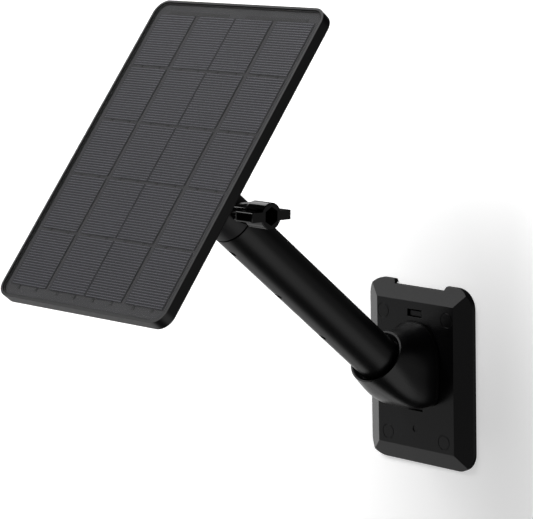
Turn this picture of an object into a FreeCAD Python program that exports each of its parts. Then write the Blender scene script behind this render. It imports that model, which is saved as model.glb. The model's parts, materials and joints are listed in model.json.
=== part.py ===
import FreeCAD, Part
import math
import os

# Wall-mounted solar panel on a tubular arm. Millimetres, +Z up.
# Origin: centre of the wall bracket's back face. The wall is the plane y = 0, and -Y points out of it.
# The arm frame has its z axis along the arm, its y axis up the panel's face, and shares the x axis.

V = FreeCAD.Vector
X_AXIS = V(1, 0, 0)
Y_AXIS = V(0, 1, 0)
Z_AXIS = V(0, 0, 1)
OUT = V(0, -1, 0)

# Driving dimensions -------------------------------------------------------------------------------
ARM_RISE = 40.0             # angle of the arm above the horizontal
ARM_FOOT = -16.75           # height at which the arm's axis meets the wall plane
TUBE_R = 12.5
TUBE_WALL = 2.5

COVER_W, COVER_H = 75.0, 101.6
COVER_RIM = 2.4             # straight side next to the wall
COVER_FRONT = 7.5           # front flat, measured from the wall
COVER_INSET = 9.8           # width of the bevel seen from the front
COVER_CORNER = 11.0
COVER_WALL = 1.9

SWIVEL_Z = 6.0              # height of the swivel axis
HUB_BACK = 7.9              # back face of the hub, measured from the wall
HUB_FLANGE = 1.6
SOCKET_R = 15.9             # outside of the socket that takes the arm
SOCKET_BORE = 13.4
SOCKET_FLOOR = 31.0         # stations along the arm start where its axis meets the wall plane
SOCKET_MOUTH = 50.6
MOUTH_FLARE = 1.5           # the bore widens by this much over the last stretch before the mouth
MOUTH_FLARE_DEPTH = 1.8

TUBE_END = 186.1
DRAIN_STATIONS = (91.2, 132.9, 174.6)
DRAIN_R = 2.2
DRAIN_TURN = -8.0           # the row of holes sits this far round from the tube's lowest line
HEAD_START = 187.1
HEAD_LIP = 201.0
HEAD_END = 202.4
BALL_AT = 197.4
BALL_R = 7.5
STEM_R = 3.2
STUD_R = 3.1

KNOB_NECK = 12.9            # stations along x, from the arm's axis
KNOB_SHOULDER = 24.6
KNOB_END = 36.9
KNOB_R = 6.8
WING_REACH = 13.8
WING_THICK = 4.8
WING_WIDTH = 11.4
WING_TILT = -3.0            # the rear wing droops by this angle from the horizontal

PANEL_W, PANEL_L = 120.8, 179.0
PANEL_FACE = 248.3          # front rim, along the arm
PANEL_DEPTH = 6.75
PANEL_CORNER = 8.0
PANEL_RIM = 1.3
PANEL_FLOOR = 1.8
SEAL_W = 0.6
CELL_W, CELL_L = 26.1, 31.35
CELL_COLUMNS = (-42.2, -13.3, 13.3, 42.2)
CELL_PITCH = 32.9
CELL_ROWS = 5
BOX_W, BOX_L = 46.0, 30.0   # junction box on the panel's back
BOX_AT = -52.0
BOX_DEPTH = 9.0
BOX_WALL = 1.8

FIT = 0.05                  # running clearance on the radius
SLIP = 0.02                 # clearance between pieces that stay together
SEAT_GAP = 0.1              # between the socket's floor and what stands on it

PANEL_BACK = PANEL_FACE - PANEL_DEPTH
TRAY_FLOOR = PANEL_BACK + PANEL_FLOOR
BOX_BACK = PANEL_BACK - BOX_DEPTH
ARM = FreeCAD.Placement(V(0, 0, ARM_FOOT), FreeCAD.Rotation(X_AXIS, 90 - ARM_RISE))


# Small helpers ------------------------------------------------------------------------------------
def rod(radius, start, end, x=0.0, y=0.0):
    """Cylinder along z from start to end."""
    return Part.makeCylinder(radius, end - start, V(x, y, start))


def ring(outer, inner, start, end):
    """Tube along z."""
    return rod(outer, start, end).cut(rod(inner, start - 1, end + 1))


def cone(radius_start, radius_end, start, end):
    return Part.makeCone(radius_start, radius_end, end - start, V(0, 0, start))


def block(x_size, y_size, z_low, z_high, x=0.0, y=0.0):
    """Box centred on x and y, between two heights."""
    return Part.makeBox(x_size, y_size, z_high - z_low, V(x - x_size / 2, y - y_size / 2, z_low))


def slab(x_size, y_size, z_low, z_high, corner, x=0.0, y=0.0):
    """Box with its four upright edges rounded."""
    body = block(x_size, y_size, z_low, z_high, x, y)
    upright = [e for e in body.Edges if abs(e.tangentAt(e.FirstParameter).z) > 0.99]
    return body.makeFillet(corner, upright)


def placed(shape, placement):
    moved = shape.copy()
    moved.Placement = placement.multiply(moved.Placement)
    return moved


def on_arm(shape):
    """Moves a shape from the arm frame into the part's frame."""
    return placed(shape, ARM)


def off_wall(shape, x=0.0, z=0.0):
    """Turns a shape built along z so that it stands out of the wall."""
    return placed(shape, FreeCAD.Placement(V(x, 0, z), FreeCAD.Rotation(X_AXIS, 90)))


def sideways(shape):
    """Turns a shape built along z so that it points along x, through the ball's centre."""
    return placed(shape, FreeCAD.Placement(V(0, 0, BALL_AT), FreeCAD.Rotation(Y_AXIS, 90)))


def fuse_all(shapes):
    return shapes[0].multiFuse(shapes[1:]).removeSplitter() if len(shapes) > 1 else shapes[0]


def round_points(radius, count, start_deg=0.0):
    """Points evenly spaced on a circle about the z axis."""
    angles = [math.radians(start_deg + 360.0 * i / count) for i in range(count)]
    return [(radius * math.cos(a), radius * math.sin(a)) for a in angles]


# Wall mount ---------------------------------------------------------------------------------------
SCREW_SPACING_X, SCREW_SPACING_Z = 46.0, 68.0
WALL_SCREW_R = 2.25
BRACKET_T = 2.4
HOOK_W, HOOK_TOP = 8.0, 6.3
BRACKET_W, BRACKET_H = 66.0, 92.8
BOSS_R, BOSS_NECK_R = 17.0, 14.0
BOSS_SHOULDER, BOSS_TOP = 5.4, 7.4
SPIGOT_R = 10.0
RECESS_R, RECESS_DEPTH = 14.0, 2.4
WINDOW_W, WINDOW_H = 10.4, 4.3
WINDOW_HEIGHTS = (34.55, -17.75)
NOTCH_HALF, NOTCH_DEPTH = 17.8, 2.4
MARK_R, MARK_W, MARK_DEPTH = 4.2, 0.5, 0.25
GATE_R, GATE_DEPTH = 1.8, 0.5
GATE_AT = (-0.5, -30.2)
MARKS = ((-23.1, 33.5), (23.1, 33.5), (-20.5, -34.7), (20.5, -34.7))


def wall_bracket():
    """Moulded base plate with the swivel's bearing, four wall screw holes and two snap hooks."""
    plate = slab(BRACKET_W, BRACKET_H, 0, BRACKET_T, 9.0)
    boss = rod(BOSS_R, 0, BOSS_SHOULDER, 0, SWIVEL_Z)
    neck = rod(BOSS_NECK_R, 0, BOSS_TOP, 0, SWIVEL_Z)
    hooks = []
    for height in WINDOW_HEIGHTS:
        hooks.append(block(HOOK_W, 1.6, 0, HOOK_TOP, 0, height - 0.9))
        hooks.append(block(HOOK_W, 2.9, HOOK_TOP - 1.0, HOOK_TOP, 0, height - 0.25))
    stiffeners = [block(1.6, 60.0, 0, 4.6, x, 0) for x in (-26.8, 26.8)]
    body = fuse_all([plate, boss, neck] + hooks + stiffeners)
    body = body.cut(rod(SPIGOT_R + FIT, -1, BOSS_TOP + 1, 0, SWIVEL_Z))
    body = body.cut(rod(RECESS_R, -1, RECESS_DEPTH, 0, SWIVEL_Z))
    for x in (-SCREW_SPACING_X / 2, SCREW_SPACING_X / 2):
        for z in (-SCREW_SPACING_Z / 2, SCREW_SPACING_Z / 2):
            body = body.cut(rod(WALL_SCREW_R, -1, BRACKET_T + 1, x, z))
    return off_wall(body)


def bevelled_block(half_w, half_h, rim, front, inset):
    """Straight side up to the rim, then a mitred bevel up to the front flat."""
    def outline(reduce, height):
        w, h = half_w - reduce, half_h - reduce
        corners = [V(-w, -h, height), V(w, -h, height), V(w, h, height), V(-w, h, height)]
        return Part.makePolygon(corners + corners[:1])
    foot = block(2 * half_w, 2 * half_h, 0, rim)
    bevel = Part.makeLoft([outline(0, rim), outline(inset, front)], True, True)
    return foot.fuse(bevel).removeSplitter()


def wall_cover():
    """Bevelled shell that snaps over the bracket, with two windows and a notch in its top edge.

    Its front has four shallow ring grooves and the small pit left by the mould's gate.
    """
    rise = COVER_FRONT - COVER_RIM
    slope = math.hypot(COVER_INSET, rise)
    outside = bevelled_block(COVER_W / 2, COVER_H / 2, COVER_RIM, COVER_FRONT, COVER_INSET)
    outside = outside.common(slab(COVER_W, COVER_H, 0, COVER_FRONT, COVER_CORNER))
    rim_drop = (COVER_WALL * slope - COVER_WALL * rise) / COVER_INSET
    inner_rim = COVER_RIM - rim_drop
    inner_front = COVER_FRONT - COVER_WALL
    inner_inset = (inner_front - inner_rim) * COVER_INSET / rise
    half_w, half_h = COVER_W / 2 - COVER_WALL, COVER_H / 2 - COVER_WALL
    inside = bevelled_block(half_w, half_h, inner_rim, inner_front, inner_inset)
    inside = inside.common(slab(2 * half_w, 2 * half_h, 0, COVER_FRONT, COVER_CORNER - COVER_WALL))
    shell = outside.cut(inside)
    shell = shell.cut(rod(BOSS_NECK_R + 0.4, 0, COVER_FRONT + 1, 0, SWIVEL_Z))
    for height in WINDOW_HEIGHTS:
        shell = shell.cut(block(WINDOW_W, WINDOW_H, 3, COVER_FRONT + 1, 0, height))
    top = COVER_H / 2
    notch = [V(-NOTCH_HALF - 1.6, top + 1, -1), V(-NOTCH_HALF, top - NOTCH_DEPTH, -1),
             V(NOTCH_HALF, top - NOTCH_DEPTH, -1), V(NOTCH_HALF + 1.6, top + 1, -1)]
    notch_face = Part.Face(Part.makePolygon(notch + notch[:1]))
    shell = shell.cut(notch_face.extrude(V(0, 0, COVER_FRONT + 2)))
    for x, z in MARKS:
        groove = ring(MARK_R, MARK_R - MARK_W, COVER_FRONT - MARK_DEPTH, COVER_FRONT + 1)
        groove.translate(V(x, z, 0))
        shell = shell.cut(groove)
    gate = rod(GATE_R, COVER_FRONT - GATE_DEPTH, COVER_FRONT + 1, *GATE_AT)
    return off_wall(shell.cut(gate))


def friction_pad():
    """Thin ring between the bracket and the turning hub."""
    return off_wall(ring(BOSS_NECK_R - 0.2, SPIGOT_R + 0.6, BOSS_TOP, HUB_BACK - 0.1), 0, SWIVEL_Z)


# Hub ----------------------------------------------------------------------------------------------
RETAINER_T = 1.3
RETAINER_SCREWS = 3
RETAINER_SCREW_AT = 6.5
RETAINER_SCREW_R = 1.5
RETAINER_HEAD_R = 2.7
RETAINER_BACK = 0.9
ARM_SCREW_R = 2.0
ARM_SCREW_HEAD_R = 3.6
ARM_SCREW_SEAT = 20.0

# Sections of the hub: out from the wall, height, half width, reach up and down, squareness of the upper
# and the lower half (2 is round) and rise of the section's normal. The last one is the mouth.
HUB_SECTIONS = (
    (HUB_BACK + HUB_FLANGE, SWIVEL_Z, 17.5, 23.6, 22.0, 2.6, 5.0, 0.0),
    (19.5, 7.0, 17.4, 20.8, 21.8, 2.5, 4.0, 9.0),
    (29.0, 11.3, 16.9, 17.4, 19.4, 2.3, 3.0, 22.0),
)
HUB_FLANGE_LIP = 0.4           # the flange stands out from the hub's side by this much
HUB_POINTS = 48


def hub_section(out, height, half_width, up, down, square_up, square_down, rise):
    """Closed curve with nearly straight sides, rounder above than below."""
    points = []
    for i in range(HUB_POINTS):
        side, lift = math.cos(2 * math.pi * i / HUB_POINTS), math.sin(2 * math.pi * i / HUB_POINTS)
        square, reach = (square_up, up) if lift >= 0 else (square_down, down)
        points.append(V(math.copysign(half_width * abs(side) ** (2 / square), side),
                        math.copysign(reach * abs(lift) ** (2 / square), lift), 0))
    curve = Part.BSplineCurve()
    curve.interpolate(Points=points, PeriodicFlag=True)
    outline = Part.Wire(curve.toShape())
    outline.Placement = FreeCAD.Placement(V(0, -out, height), FreeCAD.Rotation(X_AXIS, 90 - rise))
    return outline


def mouth_section():
    centre = ARM.multVec(V(0, 0, SOCKET_MOUTH))
    return hub_section(-centre.y, centre.z, SOCKET_R, SOCKET_R, SOCKET_R, 2.0, 2.0, ARM_RISE)


def hub_flange():
    """Thin foot that follows the hub's outline."""
    out, height, half_width, up, down, square_up, square_down, _ = HUB_SECTIONS[0]
    lip = HUB_FLANGE_LIP
    outline = hub_section(HUB_BACK, height, half_width + lip, up + lip, down + lip, square_up, square_down, 0.0)
    return Part.Face(outline).extrude(V(0, -HUB_FLANGE, 0))


def hub_shell():
    """Elbow that turns on the wall mount and holds the arm in a deep socket."""
    skin = Part.makeLoft([hub_section(*s) for s in HUB_SECTIONS] + [mouth_section()], True)
    spigot = off_wall(rod(SPIGOT_R, RETAINER_BACK + RETAINER_T, HUB_BACK + 1), 0, SWIVEL_Z)
    body = fuse_all([skin, hub_flange(), spigot])
    body = body.cut(on_arm(rod(SOCKET_BORE, SOCKET_FLOOR, SOCKET_MOUTH + 10)))
    flare = cone(SOCKET_BORE, SOCKET_BORE + MOUTH_FLARE, SOCKET_MOUTH - MOUTH_FLARE_DEPTH, SOCKET_MOUTH)
    body = body.cut(on_arm(flare))
    body = body.cut(on_arm(rod(ARM_SCREW_HEAD_R + 0.3, 0, ARM_SCREW_SEAT)))
    body = body.cut(on_arm(rod(ARM_SCREW_R + 0.1, ARM_SCREW_SEAT - 1, SOCKET_FLOOR + 1)))
    for x, y in round_points(RETAINER_SCREW_AT, RETAINER_SCREWS, 90):
        body = body.cut(off_wall(rod(RETAINER_SCREW_R + SLIP, 0, 11.0, x, y), 0, SWIVEL_Z))
    return body


def retaining_plate():
    """Disc behind the bracket that keeps the hub on its bearing."""
    disc = rod(RECESS_R - 0.5, RETAINER_BACK, RETAINER_BACK + RETAINER_T - SLIP)
    for x, y in round_points(RETAINER_SCREW_AT, RETAINER_SCREWS, 90):
        disc = disc.cut(rod(RETAINER_SCREW_R + SLIP, 0, 3, x, y))
        seat = cone(RETAINER_HEAD_R + SLIP, RETAINER_SCREW_R + SLIP, RETAINER_BACK, RETAINER_BACK + 1.2)
        seat.translate(V(x, y, 0))
        disc = disc.cut(seat)
    return off_wall(disc, 0, SWIVEL_Z)


def retaining_screws():
    """Countersunk screws that hold the retaining plate to the hub."""
    screws = []
    for x, y in round_points(RETAINER_SCREW_AT, RETAINER_SCREWS, 90):
        head = cone(RETAINER_HEAD_R, RETAINER_SCREW_R, RETAINER_BACK, RETAINER_BACK + 1.2)
        screw = head.fuse(rod(RETAINER_SCREW_R, RETAINER_BACK + 1.0, 10.5))
        for width, length in ((0.7, 2.8), (2.8, 0.7)):
            screw = screw.cut(block(width, length, RETAINER_BACK - 1, RETAINER_BACK + 0.7))
        screw.translate(V(x, y, 0))
        screws.append(screw)
    return off_wall(Part.makeCompound(screws), 0, SWIVEL_Z)


def socket_sleeve():
    """Sleeve that centres the tube in the socket, set back from the socket's mouth."""
    return on_arm(ring(SOCKET_BORE - SLIP, TUBE_R + SLIP, SOCKET_FLOOR + SEAT_GAP, SLEEVE_END))


# Arm ----------------------------------------------------------------------------------------------
PLUG_END = 52.0
ARM_SCREW_TIP = 45.0
SLEEVE_END = 44.0
END_PLUG_START = 176.5
COLLAR_R = 10.5
HEAD_SPIGOT_R = 5.9
HEAD_SPIGOT_START = 178.5


def arm_tube():
    """Round tube with three drain and cable holes in its underside."""
    tube = ring(TUBE_R, TUBE_R - TUBE_WALL, SOCKET_FLOOR + SEAT_GAP, TUBE_END)
    for station in DRAIN_STATIONS:
        drill = Part.makeCylinder(DRAIN_R, 2 * TUBE_R, V(0, 0, station), V(0, -1, 0))
        tube = tube.cut(drill.rotated(V(0, 0, 0), Z_AXIS, DRAIN_TURN))
    return on_arm(tube)


def arm_plug():
    """Plug in the tube's lower end that takes the arm screw."""
    plug = rod(TUBE_R - TUBE_WALL - SLIP, SOCKET_FLOOR + SEAT_GAP, PLUG_END)
    return on_arm(plug.cut(rod(ARM_SCREW_R + SLIP, ARM_SCREW_SEAT, ARM_SCREW_TIP + 1)))


def arm_screw():
    """Pan-head screw through the socket's floor."""
    head = rod(ARM_SCREW_HEAD_R, ARM_SCREW_SEAT - 2.8, ARM_SCREW_SEAT)
    screw = head.fuse(rod(ARM_SCREW_R, ARM_SCREW_SEAT - 1, ARM_SCREW_TIP)).removeSplitter()
    for width, length in ((0.9, 4.2), (4.2, 0.9)):
        screw = screw.cut(block(width, length, ARM_SCREW_SEAT - 4, ARM_SCREW_SEAT - 1.2))
    return on_arm(screw)


def end_plug():
    """Threaded bush in the tube's upper end, with a narrow collar that leaves the shadow gap."""
    plug = rod(TUBE_R - TUBE_WALL - SLIP, END_PLUG_START, TUBE_END)
    collar = rod(COLLAR_R, TUBE_END, HEAD_START)
    body = plug.fuse(collar).removeSplitter()
    return on_arm(body.cut(rod(HEAD_SPIGOT_R + SLIP, END_PLUG_START - 1, HEAD_START + 1)))


# Ball head ----------------------------------------------------------------------------------------
CAVITY_R = 8.6
CAVITY_FLOOR = 188.6
BALL_CLEAR = 0.3
BUSH_R = 3.8
CLAMP_R = 2.5
SHOE_END = 9.6
SEAT_R = 8.3
LOCK_START, LOCK_END = 225.0, 228.6
LOCK_R = 12.0
LOCK_FLUTES = 18
PAD_END = 230.0
BOSS_BACK = 230.4


def ball_housing():
    """Cylindrical head that holds the ball, screwed into the end of the tube."""
    body = rod(TUBE_R, HEAD_START, HEAD_END)
    top = [e for e in body.Edges if e.BoundBox.ZMin > HEAD_END - 0.01]
    body = body.makeChamfer(0.8, top)
    body = body.fuse(rod(HEAD_SPIGOT_R, HEAD_SPIGOT_START, HEAD_START)).removeSplitter()
    body = body.cut(rod(CAVITY_R, CAVITY_FLOOR, BALL_AT + 1.0))
    body = body.cut(Part.makeSphere(BALL_R + BALL_CLEAR, V(0, 0, BALL_AT)))
    lip_r = math.sqrt((BALL_R + BALL_CLEAR) ** 2 - (HEAD_LIP - BALL_AT) ** 2)
    body = body.cut(cone(lip_r, lip_r + 2.2, HEAD_LIP, HEAD_END))
    body = body.cut(sideways(rod(BUSH_R + SLIP, BALL_R - 0.5, TUBE_R + 1)))
    return on_arm(body)


def clamp_bush():
    """Threaded brass bush in the side of the head."""
    return on_arm(sideways(ring(BUSH_R, CLAMP_R + FIT, CAVITY_R + 0.1, TUBE_R - 0.9)))


def brake_shoe():
    """Small plug that the clamp screw presses on the ball."""
    return on_arm(sideways(rod(CLAMP_R - 0.1, BALL_R + 0.06, SHOE_END)))


def seat_spring():
    """Spring ring under the ball's seat."""
    return on_arm(ring(7.6, 4.4, CAVITY_FLOOR + 0.05, CAVITY_FLOOR + 0.65))


def ball_seat():
    """Ring under the ball that turns with it about the arm's axis."""
    seat = ring(SEAT_R, STEM_R, CAVITY_FLOOR + 0.95, 194.4)
    return on_arm(seat.cut(Part.makeSphere(BALL_R + BALL_CLEAR - 0.1, V(0, 0, BALL_AT))))


def ball_stud():
    """Ball, stem and threaded end in one piece."""
    ball = Part.makeSphere(BALL_R, V(0, 0, BALL_AT))
    stem = rod(STEM_R, BALL_AT, LOCK_START - 3.0)
    collar = rod(STEM_R + 1.6, LOCK_START - 4.6, LOCK_START - 2.4)
    thread = rod(STUD_R, LOCK_START - 3.0, 239.4)
    return on_arm(fuse_all([ball, stem, collar, thread]))


def lock_disc():
    """Fluted ring nut that jams against the panel's boss."""
    disc = ring(LOCK_R, STUD_R + FIT, LOCK_START, LOCK_END)
    for x, y in round_points(LOCK_R + 0.6, LOCK_FLUTES):
        disc = disc.cut(rod(1.3, LOCK_START - 1, LOCK_END + 1, x, y))
    return on_arm(disc)


def lock_pad():
    """Rubber washer between the ring nut and the boss."""
    return on_arm(ring(10.2, STUD_R + 0.3, LOCK_END, PAD_END))


# Knob ---------------------------------------------------------------------------------------------
HEX_FLATS = 8.2
HEX_DEPTH = 9.0
NECK_R = 4.6
NECK_TOP_R = 6.5             # where the neck meets the barrel
NECK_FLUTES = 8
NECK_CORE_R = 3.8
FLUTE_R, FLUTE_AT = 1.5, 5.9


def hexagon(flats, start, end):
    """Six-sided prism along z."""
    corners = [V(x, y, start) for x, y in round_points(flats / math.sqrt(3), 6)]
    face = Part.Face(Part.makePolygon(corners + corners[:1]))
    return face.extrude(V(0, 0, end - start))


def knob_wings():
    """Two opposite finger wings beside the outer end of the barrel."""
    wing = block(WING_THICK, 2 * WING_REACH, KNOB_END - WING_WIDTH, KNOB_END)
    tips = [e for e in wing.Edges if abs(abs(e.CenterOfMass.y) - WING_REACH) < 0.01]
    return wing.makeFillet(0.9, tips)


def thumb_knob():
    """Barrel knob with two wings, a fluted neck and a six-sided recess in its end."""
    neck = cone(NECK_R, NECK_TOP_R, KNOB_NECK, KNOB_SHOULDER)
    for x, y in round_points(FLUTE_AT, NECK_FLUTES):
        neck = neck.cut(rod(FLUTE_R, KNOB_NECK - 1, KNOB_SHOULDER - 0.6, x, y))
    barrel = rod(KNOB_R, KNOB_SHOULDER, KNOB_END)
    rims = [e for e in barrel.Edges if e.BoundBox.ZLength < 0.01]
    barrel = barrel.makeFillet(0.5, rims)
    core = rod(NECK_CORE_R, KNOB_NECK, KNOB_END - HEX_DEPTH - 1)
    body = fuse_all([neck, barrel, core, knob_wings()])
    body = body.cut(hexagon(HEX_FLATS, KNOB_END - HEX_DEPTH, KNOB_END + 1))
    body = body.cut(rod(CLAMP_R + SLIP, KNOB_NECK - 1, KNOB_END - HEX_DEPTH - 2.5))
    return on_arm(sideways(body.rotated(V(0, 0, 0), Z_AXIS, wing_turn())))


def wing_turn():
    """Angle of the wings about the knob's own axis, from the arm frame's y axis."""
    return ARM_RISE - 90 + WING_TILT


def knob_screw():
    """Steel clamp screw moulded into the knob."""
    return on_arm(sideways(rod(CLAMP_R, SHOE_END + 0.06, KNOB_END - HEX_DEPTH - 2.6)))


# Solar panel --------------------------------------------------------------------------------------
SHEET_W = PANEL_W - 2 * (PANEL_RIM + SEAL_W)
SHEET_L = PANEL_L - 2 * (PANEL_RIM + SEAL_W)
SHEET_CORNER = PANEL_CORNER - PANEL_RIM - SEAL_W
SHEET_TOP = PANEL_FACE - 0.15
SHEET_T = 1.0
CELL_BACK = 246.8
CELL_T = 0.25
BOARD_BACK, BOARD_TOP = 245.3, 246.5
PANEL_BOSS_R = 16.0
INSERT_R = 5.0
GLAND_R, GLAND_TIP_R, GLAND_NECK_R, GLAND_HOLE_R = 4.2, 2.8, 3.0, 1.8
GLAND_X = -12.0
GLAND_LENGTH = 9.0
GLAND_RELIEF_R, GLAND_RELIEF = 2.2, 0.6   # the hole is wider inside, and from this far out of the box
GLAND_AT = BOX_BACK + 4.5
BOX_SCREW_R = 1.25
BOX_LID_T = 1.8


def junction_corners():
    """Screw positions in the corners of the junction box."""
    x, y = BOX_W / 2 - 4.0, BOX_L / 2 - 4.0
    return [(sx * x, BOX_AT + sy * y) for sx in (-1, 1) for sy in (-1, 1)]


def rear_housing():
    """Shallow tray with ribs, the mounting boss and the walls of the junction box."""
    tray = slab(PANEL_W, PANEL_L, PANEL_BACK, PANEL_FACE, PANEL_CORNER)
    back = [e for e in tray.Edges if e.BoundBox.ZMax < PANEL_BACK + 0.01]
    tray = tray.makeFillet(1.2, back)
    cavity = slab(PANEL_W - 2 * PANEL_RIM, PANEL_L - 2 * PANEL_RIM, TRAY_FLOOR, PANEL_FACE + 1,
                  PANEL_CORNER - PANEL_RIM)
    tray = tray.cut(cavity)
    ribs = [block(1.2, SHEET_L - 4, TRAY_FLOOR - 0.5, BOARD_BACK - 0.05, x) for x in (-40.0, 40.0)]
    ribs += [block(SHEET_W - 4, 1.2, TRAY_FLOOR - 0.5, BOARD_BACK - 0.05, 0, y) for y in (-72.0, 24.0, 72.0)]
    boss = rod(PANEL_BOSS_R, BOSS_BACK, PANEL_BACK + 1)
    foot = cone(PANEL_BOSS_R, PANEL_BOSS_R + 4.0, PANEL_BACK - 4.0, PANEL_BACK + 0.5)
    box = slab(BOX_W, BOX_L, BOX_BACK, PANEL_BACK + 1, 3.0, 0, BOX_AT)
    body = fuse_all([tray] + ribs + [boss, foot, box])
    hollow = slab(BOX_W - 2 * BOX_WALL, BOX_L - 2 * BOX_WALL, BOX_BACK - 1, PANEL_BACK - 0.4, 1.4, 0, BOX_AT)
    pillars = [rod(3.2, BOX_BACK, PANEL_BACK, x, y) for x, y in junction_corners()]
    body = body.cut(hollow.cut(Part.makeCompound(pillars)))
    for x, y in junction_corners():
        body = body.cut(rod(BOX_SCREW_R + SLIP, BOX_BACK - 1, BOX_BACK + 6.2, x, y))
    body = body.cut(rod(INSERT_R + SLIP, BOSS_BACK - 1, BOSS_BACK + 10.5))
    body = body.cut(gland_core(GLAND_NECK_R + SLIP, BOX_WALL + 1))
    slot = block(6.0, 3.0, PANEL_BACK - 1.4, TRAY_FLOOR + 1, 12.0, BOX_AT)
    return on_arm(body.cut(slot))


def mounting_insert():
    """Threaded brass insert in the panel's boss."""
    return on_arm(ring(INSERT_R, STUD_R + FIT, BOSS_BACK + 0.1, BOSS_BACK + 10.4))


def backing_board():
    """Board that carries the cells."""
    return on_arm(slab(SHEET_W, SHEET_L, BOARD_BACK, BOARD_TOP, SHEET_CORNER))


def cell_centres():
    rows = [CELL_PITCH * (i - (CELL_ROWS - 1) / 2) for i in range(CELL_ROWS)]
    return [(x, y) for y in rows for x in CELL_COLUMNS]


def solar_cells():
    """Twenty separate cells, four across and five up."""
    cells = [block(CELL_W, CELL_L, CELL_BACK, CELL_BACK + CELL_T, x, y) for x, y in cell_centres()]
    return on_arm(Part.makeCompound(cells))


def cell_ribbons():
    """Two flat conductors behind each column of cells, joined in pairs at the ends."""
    low, high = BOARD_TOP + 0.02, CELL_BACK - 0.03
    length = CELL_ROWS * CELL_PITCH + 3.0
    strings = []
    for columns in (CELL_COLUMNS[:2], CELL_COLUMNS[2:]):
        strips = [block(1.6, length, low, high, x + dx) for x in columns for dx in (-6.5, 6.5)]
        span = columns[1] - columns[0] + 14.6
        link = block(span, 2.0, low, high, sum(columns) / 2, length / 2 - 1.0)
        strings.append(fuse_all(strips + [link]))
    return on_arm(Part.makeCompound(strings))


def cover_sheet():
    """Clear front sheet, a hair below the tray's rim."""
    return on_arm(slab(SHEET_W, SHEET_L, SHEET_TOP - SHEET_T, SHEET_TOP, SHEET_CORNER))


def edge_seal():
    """Sealing bead round the front sheet and the board, sunk below the rim."""
    bead = slab(PANEL_W - 2 * PANEL_RIM - SLIP, PANEL_L - 2 * PANEL_RIM - SLIP, BOARD_BACK,
                SHEET_TOP - 0.5, PANEL_CORNER - PANEL_RIM - SLIP)
    inner = slab(SHEET_W + SLIP, SHEET_L + SLIP, BOARD_BACK - 1, PANEL_FACE + 1, SHEET_CORNER + SLIP)
    return on_arm(bead.cut(inner))


def regulator_board():
    """Circuit board in the junction box."""
    return on_arm(slab(26.0, 20.0, BOX_BACK + 4.4, BOX_BACK + 5.6, 1.0, -1.0, BOX_AT))


def regulator_parts():
    """Coil, capacitor, diode and terminal on the rear side of the board."""
    top = BOX_BACK + 4.4
    coil = block(6.0, 6.0, top - 2.8, top, -11.0, BOX_AT + 4.0)
    capacitor = rod(2.2, top - 3.0, top, -3.0, BOX_AT + 5.0)
    diode = block(4.4, 2.6, top - 1.6, top, -10.0, BOX_AT - 5.0)
    terminal = block(5.0, 7.0, top - 3.0, top, 6.0, BOX_AT)
    return on_arm(Part.makeCompound([coil, capacitor, diode, terminal]))


def junction_cover():
    """Lid of the junction box."""
    lid = slab(BOX_W, BOX_L, BOX_BACK - BOX_LID_T, BOX_BACK - 0.3, 3.0, 0, BOX_AT)
    for x, y in junction_corners():
        lid = lid.cut(rod(BOX_SCREW_R + 0.1, BOX_BACK - 3, BOX_BACK + 1, x, y))
        lid = lid.cut(rod(2.5, BOX_BACK - BOX_LID_T - 1, BOX_BACK - BOX_LID_T + 0.9, x, y))
    return on_arm(lid)


def lid_gasket():
    """Flat gasket under the lid."""
    gasket = slab(BOX_W - 0.6, BOX_L - 0.6, BOX_BACK - 0.3, BOX_BACK, 2.7, 0, BOX_AT)
    gasket = gasket.cut(slab(BOX_W - 3.4, BOX_L - 3.4, BOX_BACK - 1, BOX_BACK + 1, 1.4, 0, BOX_AT))
    return on_arm(gasket)


def lid_screws():
    """Four pan-head screws in the lid."""
    screws = []
    for x, y in junction_corners():
        head = rod(2.3, BOX_BACK - BOX_LID_T - 0.7, BOX_BACK - BOX_LID_T + 0.9, x, y)
        screw = head.fuse(rod(BOX_SCREW_R, BOX_BACK - BOX_LID_T, BOX_BACK + 6.0, x, y)).removeSplitter()
        for width, length in ((0.6, 2.8), (2.8, 0.6)):
            low = BOX_BACK - BOX_LID_T - 2
            screw = screw.cut(block(width, length, low, low + 1.9, x, y))
        screws.append(screw)
    return on_arm(Part.makeCompound(screws))


def gland_core(radius, reach):
    """Cylinder through the lower wall of the junction box, where the lead leaves."""
    wall = BOX_AT - BOX_L / 2
    return Part.makeCylinder(radius, reach + 1, V(GLAND_X, wall + reach, GLAND_AT), V(0, -1, 0))


def cable_gland():
    """Rubber gland at the foot of the junction box."""
    wall = BOX_AT - BOX_L / 2
    at = V(GLAND_X, wall, GLAND_AT)
    down = V(0, -1, 0)
    reach = BOX_WALL + 0.6
    spigot = Part.makeCylinder(GLAND_NECK_R, reach, V(GLAND_X, wall + reach, GLAND_AT), down)
    body = Part.makeCone(GLAND_R, GLAND_TIP_R, GLAND_LENGTH, at, down)
    body = spigot.fuse(body).removeSplitter()
    hole = Part.makeCylinder(GLAND_HOLE_R, 2 * GLAND_LENGTH, at, down)
    relief_top = V(GLAND_X, wall + 2 * BOX_WALL - GLAND_RELIEF, GLAND_AT)
    relief = Part.makeCylinder(GLAND_RELIEF_R, 2 * BOX_WALL, relief_top, down)
    return on_arm(body.cut(hole).cut(relief))


PIECES = (
    wall_bracket, wall_cover, friction_pad,
    hub_shell, retaining_plate, retaining_screws, socket_sleeve,
    arm_tube, arm_plug, arm_screw, end_plug,
    ball_housing, clamp_bush, brake_shoe, seat_spring, ball_seat, ball_stud, lock_disc, lock_pad,
    thumb_knob, knob_screw,
    rear_housing, mounting_insert, backing_board, solar_cells, cell_ribbons, cover_sheet, edge_seal,
    regulator_board, regulator_parts, junction_cover, lid_gasket, lid_screws, cable_gland,
)


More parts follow.
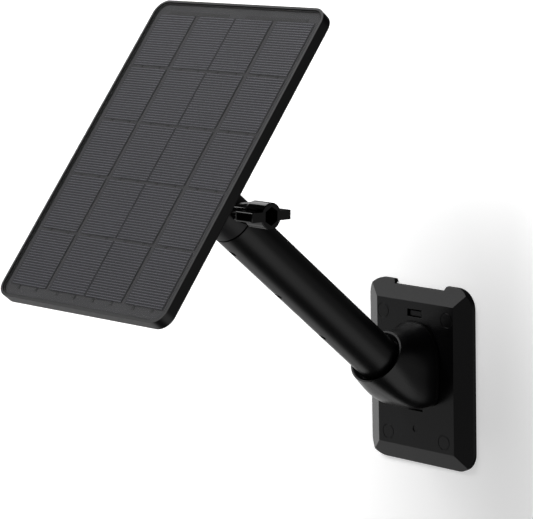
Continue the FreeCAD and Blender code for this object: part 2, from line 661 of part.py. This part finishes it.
def main():
    os.makedirs("parts", exist_ok=True)
    for piece in PIECES:
        shape = piece()
        solids = len(shape.Solids)
        print("%-18s solids %2d  volume %9.1f  valid %s" % (piece.__name__, solids, shape.Volume, shape.isValid()))
        shape.exportStep("parts/%s.step" % piece.__name__)


main()
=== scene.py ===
"""Solar panel on a tubular wall arm: the looks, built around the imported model. Metres, +Z up."""
import json
import math

import bmesh
import bpy
from mathutils import Matrix, Vector

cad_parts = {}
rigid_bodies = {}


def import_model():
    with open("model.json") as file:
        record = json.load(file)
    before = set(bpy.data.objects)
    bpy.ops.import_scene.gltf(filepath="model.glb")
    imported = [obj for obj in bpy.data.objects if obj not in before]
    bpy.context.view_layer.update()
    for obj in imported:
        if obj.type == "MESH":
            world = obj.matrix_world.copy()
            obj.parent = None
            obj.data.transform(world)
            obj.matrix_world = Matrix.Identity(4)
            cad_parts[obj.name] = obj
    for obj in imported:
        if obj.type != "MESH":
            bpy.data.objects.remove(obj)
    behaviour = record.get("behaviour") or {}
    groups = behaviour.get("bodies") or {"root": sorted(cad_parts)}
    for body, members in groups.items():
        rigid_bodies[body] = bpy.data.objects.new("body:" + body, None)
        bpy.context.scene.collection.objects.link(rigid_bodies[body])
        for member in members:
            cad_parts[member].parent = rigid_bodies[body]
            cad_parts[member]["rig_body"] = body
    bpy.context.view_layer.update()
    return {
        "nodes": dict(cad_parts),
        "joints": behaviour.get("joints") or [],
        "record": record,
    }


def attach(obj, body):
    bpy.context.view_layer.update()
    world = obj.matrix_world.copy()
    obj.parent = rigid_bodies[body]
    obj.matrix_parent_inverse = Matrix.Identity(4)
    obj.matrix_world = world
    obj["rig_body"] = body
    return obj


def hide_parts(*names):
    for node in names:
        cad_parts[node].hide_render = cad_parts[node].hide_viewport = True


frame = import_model()
NODES = frame["nodes"]
SLOT_OF = {row["node"]: row["material_slot"] for row in frame["record"]["subparts"]}
MM = 0.001
# The plain materials that came with the parts make room for the finishes below.
for plain in list(bpy.data.materials):
    bpy.data.materials.remove(plain)

# Sizes -------------------------------------------------------------------------------------------
ARM_START_TO_BALL = 197.4 * MM      # from the wall plane to the ball's centre, along the arm
CELL_ROWS = 5
COLUMNS_IN_PAIR = 2
CELL_W, CELL_L = 26.1 * MM, 31.35 * MM
COLUMN_PITCH = 28.9 * MM            # between the two columns of a pair
PAIR_OFFSET = 27.75 * MM            # from the panel's middle line to the middle of a pair
ROW_PITCH = 32.9 * MM
FINGERS = 22                        # metal lines on one cell
FINGER_PITCH = 1.438 * MM
FINGER_WIDTH = 0.34 * MM
FINGER_LENGTH = 25.1 * MM
FINGER_HEIGHT = 0.02 * MM
SHARP_CREASE = math.radians(20)     # creases steeper than this are rounded
SHADING_BREAK = math.radians(40)    # and steeper than this they break the shading
FLAT_CREASE = math.radians(0.4)     # facets that meet flatter than this are one face
WELD = 0.002 * MM                   # corners closer than this are one corner
ROUNDING_STEPS = 2
# Edge radius in mm of each piece whose edges are rounded.
EDGE_RADII = {
    "wall_cover": 0.35, "wall_bracket": 0.2, "hub_shell": 0.15, "arm_tube": 0.15,
    "ball_housing": 0.25, "thumb_knob": 0.45, "rear_housing": 0.35, "junction_cover": 0.3,
    "lock_disc": 0.3, "cable_gland": 0.25, "edge_seal": 0.12, "lid_screws": 0.12,
    "retaining_screws": 0.08, "retaining_plate": 0.15,
}


# Places ------------------------------------------------------------------------------------------
def joint(name):
    return next(j for j in frame["joints"] if j["name"] == name)


def arm_frame():
    """The arm's frame: x along the wall, y up the panel's face, z along the arm, from the wall."""
    along = Vector(joint("seat_turn")["axis"]).normalized()
    across = Vector((1, 0, 0))
    up_face = along.cross(across)
    foot = Vector(joint("seat_turn")["pos_m"]) - along * ARM_START_TO_BALL
    turn = Matrix((across, up_face, along)).transposed()
    return Matrix.Translation(foot) @ turn.to_4x4()


ON_ARM = arm_frame()
OFF_ARM = ON_ARM.inverted()


def arm_box(node):
    """Lowest and highest corner of a CAD node in the arm's frame."""
    points = [OFF_ARM @ v.co for v in NODES[node].data.vertices]
    low = Vector([min(p[i] for p in points) for i in range(3)])
    high = Vector([max(p[i] for p in points) for i in range(3)])
    return low, high


# Node trees --------------------------------------------------------------------------------------
class Wire:
    """One socket of a node tree. Arithmetic on it adds Math nodes."""

    def __init__(self, tree, socket):
        self.tree, self.socket = tree, socket

    def also(self, name):
        """Another output of the same node."""
        return Wire(self.tree, self.socket.node.outputs[name])

    def _math(self, operation, first, second):
        return self.tree.add("ShaderNodeMath", {"operation": operation}, {0: first, 1: second})

    def __add__(self, other):
        return self._math("ADD", self, other)

    def __sub__(self, other):
        return self._math("SUBTRACT", self, other)

    def __rsub__(self, other):
        return self._math("SUBTRACT", other, self)

    def __mul__(self, other):
        return self._math("MULTIPLY", self, other)

    __radd__ = __add__
    __rmul__ = __mul__


class Tree:
    """A node tree that is filled by one method."""

    def __init__(self, tree):
        self.tree = tree
        tree.nodes.clear()

    def add(self, kind, settings=None, sockets=None, out=0):
        """Adds a node. A socket takes a value, a wire or a list of wires."""
        node = self.tree.nodes.new(kind)
        for name, value in (settings or {}).items():
            if name == "stops":
                self._set_stops(node.color_ramp, value)
            else:
                setattr(node, name, value)
        for key, value in (sockets or {}).items():
            if isinstance(value, Wire):
                value = [value]
            if isinstance(value, list):
                for wire in value:
                    self.tree.links.new(wire.socket, node.inputs[key])
            else:
                node.inputs[key].default_value = value
        return Wire(self, node.outputs[out]) if node.outputs else node

    @staticmethod
    def _set_stops(ramp, stops):
        while len(ramp.elements) < len(stops):
            ramp.elements.new(1.0)
        for element, (place, colour) in zip(ramp.elements, stops):
            element.position = place
            element.color = colour


def grey(value):
    return (value, value, value, 1.0)


def shade(colour, factor):
    """The colour, lighter or darker, with an alpha of one."""
    return tuple(min(1, c * factor) for c in colour) + (1,)


# Finishes ----------------------------------------------------------------------------------------
GRAINS_IN_WAVE = 4                  # one wave of the grain's noise spans this many grains
FLOW_WAVES = 45.0                   # this and the next ones: waves per metre
HAZE_WAVES, WIPE_WAVES = 160.0, 420.0
STREAK_WAVES = 600.0
SHEET_WAVES, SHEET_GRAIN_WAVES = 26.0, 2600.0
SHEET_ALPHA = 0.18


def new_material(name):
    """A material without nodes, and the tree that fills it."""
    material = bpy.data.materials.new(name)
    material.use_nodes = True
    return material, Tree(material.node_tree)


def own_place(tree):
    """The object's own coordinates."""
    return tree.add("ShaderNodeTexCoord", None, None, "Object")


def surface(tree, sockets):
    """Ends a material with one Principled BSDF."""
    shader = tree.add("ShaderNodeBsdfPrincipled", None, sockets)
    tree.add("ShaderNodeOutputMaterial", None, {"Surface": shader})


def noise(tree, place, waves, detail):
    return tree.add("ShaderNodeTexNoise", None,
                    {"Vector": place, "Scale": waves, "Detail": detail})


def relief(tree, height, depth, strength=1.0):
    """A normal from a height of the given depth in mm."""
    return tree.add("ShaderNodeBump", None,
                    {"Height": height, "Distance": depth * MM, "Strength": strength})


def moulded(name, colour, roughness, grain=0.10, depth=0.012):
    """Moulded plastic: a fine spark-eroded grain, faint flow marks and slightly uneven gloss."""
    material, tree = new_material(name)
    place = own_place(tree)
    fine = noise(tree, place, 1 / (grain * MM * GRAINS_IN_WAVE), 2.0)
    wide = noise(tree, place, FLOW_WAVES, 3.0)
    stops = ((0.25, shade(colour, 0.82)), (0.75, shade(colour, 1.18)))
    tone = tree.add("ShaderNodeValToRGB", {"stops": stops}, {"Fac": wide})
    gloss = roughness + (wide - 0.5) * 0.05 + (fine - 0.5) * 0.10
    surface(tree, {"Base Color": tone, "Roughness": gloss, "Normal": relief(tree, fine, depth)})
    return material


def polished(name, colour, roughness):
    """Glossy moulded plastic with faint haze and fine wiping marks."""
    material, tree = new_material(name)
    place = own_place(tree)
    haze = noise(tree, place, HAZE_WAVES, 4.0)
    wave = noise(tree, place, WIPE_WAVES, 1.0)
    surface(tree, {"Base Color": colour + (1,), "Roughness": roughness + haze * 0.06,
                   "Normal": relief(tree, wave, 0.02, 0.6)})
    return material


def metal(name, colour, roughness):
    """Turned or plated metal with fine streaks."""
    material, tree = new_material(name)
    place = own_place(tree)
    lines = noise(tree, place, STREAK_WAVES, 3.0)
    stops = ((0.3, shade(colour, 0.8)), (0.7, shade(colour, 1.1)))
    tone = tree.add("ShaderNodeValToRGB", {"stops": stops}, {"Fac": lines})
    surface(tree, {"Base Color": tone, "Metallic": 1.0,
                   "Roughness": roughness + (lines - 0.5) * 0.15})
    return material


def clear_sheet(name, colour, roughness):
    """Clear laminated sheet with a low sheen."""
    material, tree = new_material(name)
    place = own_place(tree)
    wide = noise(tree, place, SHEET_WAVES, 3.0)
    fine = noise(tree, place, SHEET_GRAIN_WAVES, 1.0)
    surface(tree, {"Base Color": colour + (1,), "Roughness": roughness + (wide - 0.5) * 0.08,
                   "Normal": relief(tree, fine, 0.0005), "Alpha": SHEET_ALPHA})
    return material


# Each finish: its kind, colour and roughness, then for some the size and depth of the grain in mm.
FINISH_TABLE = {
    "bracket_plastic": (moulded, (0.006, 0.006, 0.0065), 0.42),
    "cover_plastic": (moulded, (0.0042, 0.0042, 0.0046), 0.25, 0.10, 0.005),
    "hub_plastic": (moulded, (0.0036, 0.0036, 0.004), 0.30, 0.10, 0.006),
    "tube_plastic": (moulded, (0.0060, 0.0060, 0.0063), 0.34, 0.10, 0.006),
    "head_plastic": (moulded, (0.026, 0.026, 0.027), 0.45, 0.10, 0.006),
    "tray_plastic": (moulded, (0.0050, 0.0050, 0.0054), 0.32, 0.10, 0.005),
    "bearing_plastic": (moulded, (0.62, 0.61, 0.57), 0.45),
    "knob_plastic": (polished, (0.003, 0.003, 0.0033), 0.05),
    "rubber": (moulded, (0.008, 0.008, 0.008), 0.6, 0.2, 0.02),
    "brass": (metal, (0.68, 0.50, 0.22), 0.3),
    "screw_steel": (metal, (0.52, 0.52, 0.53), 0.32),
    "stud_steel": (metal, (0.45, 0.45, 0.46), 0.25),
    "spring_steel": (metal, (0.42, 0.42, 0.44), 0.25),
    "board": (moulded, (0.042, 0.042, 0.045), 0.6, 0.3, 0.003),
    "cell": (moulded, (0.010, 0.010, 0.016), 0.45, 0.05, 0.002),
    "ribbon": (moulded, (0.008, 0.008, 0.009), 0.4, 0.2, 0.004),
    "finger_print": (metal, (0.27, 0.27, 0.30), 0.45),
    "circuit_board": (moulded, (0.015, 0.12, 0.05), 0.4, 0.3, 0.02),
    "component": (moulded, (0.03, 0.03, 0.034), 0.5, 0.2, 0.02),
    "clear_sheet": (clear_sheet, (0.012, 0.012, 0.012), 0.34),
}
FINISHES = {name: make(name, *rest) for name, (make, *rest) in FINISH_TABLE.items()}

for name, node in NODES.items():
    node.data.materials.clear()
    node.data.materials.append(FINISHES[SLOT_OF[name]])


# Making pieces -----------------------------------------------------------------------------------
def linked(name, mesh, finish, body, replaced=()):
    """A finished mesh as a piece of the object, riding on its body in place of CAD nodes."""
    piece = bpy.data.objects.new(name, mesh)
    bpy.context.scene.collection.objects.link(piece)
    if finish:
        mesh.materials.clear()
        mesh.materials.append(FINISHES[finish])
    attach(piece, body)
    if replaced:
        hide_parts(*replaced)
    return piece


def flattened(piece):
    """The evaluated mesh of a working object, which is then removed."""
    ready = piece.evaluated_get(bpy.context.evaluated_depsgraph_get())
    mesh = bpy.data.meshes.new_from_object(ready)
    bpy.data.objects.remove(piece)
    return mesh


def softened(node, radius):
    """A CAD piece with its edges rounded: every mould rounds them a little."""
    mesh = NODES[node].data.copy()
    shape = bmesh.new()
    shape.from_mesh(mesh)
    bmesh.ops.remove_doubles(shape, verts=shape.verts, dist=WELD)
    bmesh.ops.dissolve_limit(shape, angle_limit=FLAT_CREASE, verts=shape.verts, edges=shape.edges)
    edges = [edge for edge in shape.edges
             if len(edge.link_faces) == 2 and edge.calc_face_angle() > SHARP_CREASE]
    bmesh.ops.bevel(shape, geom=edges, offset=radius, offset_type="OFFSET", segments=ROUNDING_STEPS,
                    profile=0.5, affect="EDGES", clamp_overlap=True)
    for face in shape.faces:
        face.smooth = True
    shape.to_mesh(mesh)
    shape.free()
    mesh.set_sharp_from_angle(angle=SHADING_BREAK)
    work = bpy.data.objects.new(node + "_work", mesh)
    bpy.context.scene.collection.objects.link(work)
    weighted = work.modifiers.new("facing", "WEIGHTED_NORMAL")
    weighted.keep_sharp = True
    body = NODES[node]["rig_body"]
    return linked("soft_" + node, flattened(work), SLOT_OF[node], body, [node])


class Recipe(Tree):
    """A Geometry Nodes tree with named inputs for its sizes."""

    def __init__(self, name, sizes):
        group = bpy.data.node_groups.new(name, "GeometryNodeTree")
        super().__init__(group)
        group.interface.new_socket(name="Geometry", in_out="OUTPUT",
                                   socket_type="NodeSocketGeometry")
        for size, value in sizes.items():
            kind = "NodeSocketInt" if isinstance(value, int) else "NodeSocketFloat"
            group.interface.new_socket(name=size, in_out="INPUT", socket_type=kind)
        self.sizes = sizes
        self.inputs = self.add("NodeGroupInput")

    def size(self, name):
        return self.inputs.also(name)

    def vector(self, x=0.0, y=0.0, z=0.0):
        return self.add("ShaderNodeCombineXYZ", None, {0: x, 1: y, 2: z})

    def moved(self, geometry, x=0.0, y=0.0, z=0.0):
        return self.add("GeometryNodeTransform", None,
                        {"Geometry": geometry, "Translation": self.vector(x, y, z)})

    def joined(self, *geometries):
        return self.add("GeometryNodeJoinGeometry", None, {"Geometry": list(geometries)})

    def box(self, x, y, z):
        return self.add("GeometryNodeMeshCube", None, {"Size": self.vector(x, y, z)})

    def grid(self, width, length, across, along):
        """Points on a rectangle, as many across and along as asked."""
        return self.add("GeometryNodeMeshGrid", None, {
            "Size X": width, "Size Y": length, "Vertices X": across, "Vertices Y": along})

    def repeated(self, points, shape):
        """One copy of a shape at every point, as real geometry."""
        copies = self.add("GeometryNodeInstanceOnPoints", None,
                          {"Points": points, "Instance": shape})
        return self.add("GeometryNodeRealizeInstances", None, {"Geometry": copies})

    def made(self, geometry, finish, place):
        """Runs the tree on an empty mesh and returns the result as a plain mesh in its place."""
        painted = self.add("GeometryNodeSetMaterial", None,
                           {"Geometry": geometry, "Material": FINISHES[finish]})
        self.add("NodeGroupOutput", None, {"Geometry": painted})
        blank = bpy.data.meshes.new(self.tree.name)
        work = bpy.data.objects.new(self.tree.name + "_work", blank)
        bpy.context.scene.collection.objects.link(work)
        modifier = work.modifiers.new("grow", "NODES")
        modifier.node_group = self.tree
        for item in self.tree.interface.items_tree:
            if item.in_out == "INPUT":
                modifier[item.identifier] = self.sizes[item.name]
        mesh = flattened(work)
        mesh.transform(place)
        return mesh


# Panel face --------------------------------------------------------------------------------------
CELL_LOW, CELL_HIGH = arm_box("solar_cells")
CELL_SIZES = {"Row pitch": ROW_PITCH, "Column pitch": COLUMN_PITCH, "Pair offset": PAIR_OFFSET}


def cell_points(recipe):
    """A point at the centre of every cell. The gap between the two pairs of columns is narrower."""
    rows = recipe.size("Row pitch") * (CELL_ROWS - 1)
    pair = recipe.grid(recipe.size("Column pitch"), rows, COLUMNS_IN_PAIR, CELL_ROWS)
    offset = recipe.size("Pair offset")
    return recipe.joined(recipe.moved(pair, offset), recipe.moved(pair, offset * -1))


def make_cells():
    thickness = CELL_HIGH.z - CELL_LOW.z
    recipe = Recipe("cells", dict(CELL_SIZES, Width=CELL_W, Length=CELL_L, Thickness=thickness))
    wafer = recipe.box(recipe.size("Width"), recipe.size("Length"), recipe.size("Thickness"))
    cells = recipe.repeated(cell_points(recipe), wafer)
    place = ON_ARM @ Matrix.Translation((0, 0, CELL_LOW.z + thickness / 2))
    linked("solar_cell_wafers", recipe.made(cells, "cell", place), "cell", "panel", ["solar_cells"])


def make_fingers():
    """The fine metal lines across each cell."""
    recipe = Recipe("fingers", dict(
        CELL_SIZES, Width=FINGER_WIDTH, Length=FINGER_LENGTH, Pitch=FINGER_PITCH,
        Thickness=FINGER_HEIGHT, Lines=FINGERS))
    bar = recipe.box(recipe.size("Length"), recipe.size("Width"), recipe.size("Thickness"))
    span = recipe.size("Pitch") * (recipe.size("Lines") - 1)
    stations = recipe.grid(0.0, span, 1, recipe.size("Lines"))
    lines = recipe.repeated(stations, bar)
    printed = recipe.repeated(cell_points(recipe), lines)
    place = ON_ARM @ Matrix.Translation((0, 0, CELL_HIGH.z + FINGER_HEIGHT / 2))
    linked("cell_finger_lines", recipe.made(printed, "finger_print", place), None, "panel")


make_cells()
make_fingers()
for soft_node, edge_radius in EDGE_RADII.items():
    softened(soft_node, edge_radius * MM)


# Camera, wall, floor and light -------------------------------------------------------------------
CAMERA_AT = Vector((0.9038, -1.0031, 0.3046))
CAMERA_AZIMUTH, CAMERA_ELEVATION, CAMERA_ROLL = 45.64, 10.07, -1.32
LENS, SENSOR = 169.6, 36.0
CLIP_START, CLIP_END = 0.05, 30.0
STAGE_REACH, FLOOR_Z = 3.0, -0.32
STAGE_WHITE = 0.8
WALL_GLOW, FLOOR_GLOW = 0.50, 0.55
AMBIENT = 0.03
BACKDROP = 1.0                      # brightness of the surroundings where the camera sees them
# Soft bright patches: the direction, the cosines where one starts and is full, and its strength.
PATCHES = (
    ((-0.97, 0.13, -0.19), 0.88, 0.98, 0.88),        # left
    ((-0.52, 0.10, -0.84), 0.935, 0.99, 0.72),       # low on the left
    ((-0.84, -0.22, -0.50), 0.91, 0.98, 0.60),       # low on the left, in front
    ((-0.72, 0.60, -0.35), 0.90, 0.99, 0.80),        # left, far behind
    ((-0.64, -0.69, -0.34), 0.88, 0.99, 0.30),       # low in front, from the left
    ((-0.60, -0.08, 0.80), 0.89, 1.00, 1.85),        # high on the left
    ((-0.70, 0.40, 0.60), 0.92, 0.99, 1.9),          # high behind on the left
    ((0.82, 0.02, -0.55), 0.82, 0.96, 0.66),         # low on the right
    ((0.80, 0.57, -0.17), 0.86, 0.98, 0.12),         # behind on the right
    ((0.22, -0.88, -0.42), 0.84, 0.99, 0.13),        # low in front
)
# Each lamp: its place and target, the side of its square in metres, its watts, if it is reflected.
LAMPS = {
    "left_softbox": ((-1.15, -1.2, 0.8), (0, -0.1, 0.05), 0.8, 2.6, True),
    "wall_light": ((-0.22, -0.85, 0.88), (0.02, 0, 0), 0.6, 18.0, False),
}


def make_camera():
    data = bpy.data.cameras.new("camera")
    data.lens, data.sensor_width = LENS, SENSOR
    data.clip_start, data.clip_end = CLIP_START, CLIP_END
    camera = bpy.data.objects.new("camera", data)
    bpy.context.scene.collection.objects.link(camera)
    a, e, roll = (math.radians(x) for x in (CAMERA_AZIMUTH, CAMERA_ELEVATION, CAMERA_ROLL))
    back = Vector((math.sin(a) * math.cos(e), -math.cos(a) * math.cos(e), math.sin(e)))
    level = Vector((math.cos(a), math.sin(a), 0))
    upright = back.cross(level)
    right = level * math.cos(roll) + upright * math.sin(roll)
    up = upright * math.cos(roll) - level * math.sin(roll)
    turn = Matrix((right, up, back)).transposed()
    camera.matrix_world = Matrix.Translation(CAMERA_AT) @ turn.to_4x4()
    bpy.context.scene.camera = camera


def sheet_of(name, corners, material):
    """A sheet of the studio, which only the camera sees."""
    mesh = bpy.data.meshes.new(name)
    mesh.from_pydata(corners, [], [(0, 1, 2, 3)])
    piece = bpy.data.objects.new(name, mesh)
    mesh.materials.append(material)
    bpy.context.scene.collection.objects.link(piece)
    for kind_of_ray in ("diffuse", "glossy", "transmission", "shadow"):
        setattr(piece, "visible_" + kind_of_ray, False)


def stage_finish(name, shine, one_sided):
    """White paint with a glow of its own; a one-sided sheet is clear from behind."""
    material, tree = new_material(name)
    paint = tree.add("ShaderNodeBsdfDiffuse", None, {"Color": grey(STAGE_WHITE)})
    glow = tree.add("ShaderNodeEmission", None, {"Color": grey(1.0), "Strength": shine})
    sheet = tree.add("ShaderNodeAddShader", None, {0: paint, 1: glow})
    if one_sided:
        behind = tree.add("ShaderNodeNewGeometry", None, None, "Backfacing")
        clear = tree.add("ShaderNodeBsdfTransparent")
        sheet = tree.add("ShaderNodeMixShader", None, {"Fac": behind, 1: sheet, 2: clear})
    tree.add("ShaderNodeOutputMaterial", None, {"Surface": sheet})
    return material


def make_stage():
    left, right = -STAGE_REACH, STAGE_REACH
    wall = [(left, 0, FLOOR_Z), (right, 0, FLOOR_Z),
            (right, 0, STAGE_REACH), (left, 0, STAGE_REACH)]
    sheet_of("wall", wall, stage_finish("wall_paint", WALL_GLOW, True))
    floor = [(left, -STAGE_REACH, FLOOR_Z), (right, -STAGE_REACH, FLOOR_Z),
             (right, STAGE_REACH, FLOOR_Z), (left, STAGE_REACH, FLOOR_Z)]
    sheet_of("floor", floor, stage_finish("floor_paint", FLOOR_GLOW, False))


def area_light(name, place, target, side, power, reflected):
    data = bpy.data.lights.new(name, "AREA")
    data.shape, data.size, data.size_y, data.energy = "RECTANGLE", side, side, power
    lamp = bpy.data.objects.new(name, data)
    lamp.location = place
    lamp.rotation_mode = "QUATERNION"
    lamp.rotation_quaternion = (Vector(target) - Vector(place)).to_track_quat("-Z", "Y")
    lamp.visible_camera = False
    lamp.visible_glossy = reflected
    bpy.context.scene.collection.objects.link(lamp)


def make_world():
    """Dim surroundings with soft bright patches; the camera sees plain white."""
    world = bpy.data.worlds.new("studio")
    bpy.context.scene.world = world
    world.use_nodes = True
    tree = Tree(world.node_tree)
    ray = tree.add("ShaderNodeTexCoord", None, None, "Generated")

    def lobe(direction, start, full):
        """A soft bright patch of the surroundings round a direction."""
        aim = Vector(direction).normalized()
        facing = tree.add("ShaderNodeVectorMath", {"operation": "DOT_PRODUCT"},
                          {0: ray, 1: aim}, "Value")
        return tree.add("ShaderNodeMapRange", {"interpolation_type": "SMOOTHSTEP"},
                        {"Value": facing, "From Min": start, "From Max": full})

    light = AMBIENT + sum(lobe(direction, start, full) * bright
                          for direction, start, full, bright in PATCHES)
    seen = tree.add("ShaderNodeLightPath", None, None, "Is Camera Ray")
    strength = light * (1 - seen) + seen * BACKDROP
    glow = tree.add("ShaderNodeBackground", None, {"Color": grey(1.0), "Strength": strength})
    tree.add("ShaderNodeOutputWorld", None, {"Surface": glow})


make_camera()
make_stage()
make_world()
for lamp_name, lamp_values in LAMPS.items():
    area_light(lamp_name, *lamp_values)
bpy.context.scene.view_settings.view_transform = "Standard"
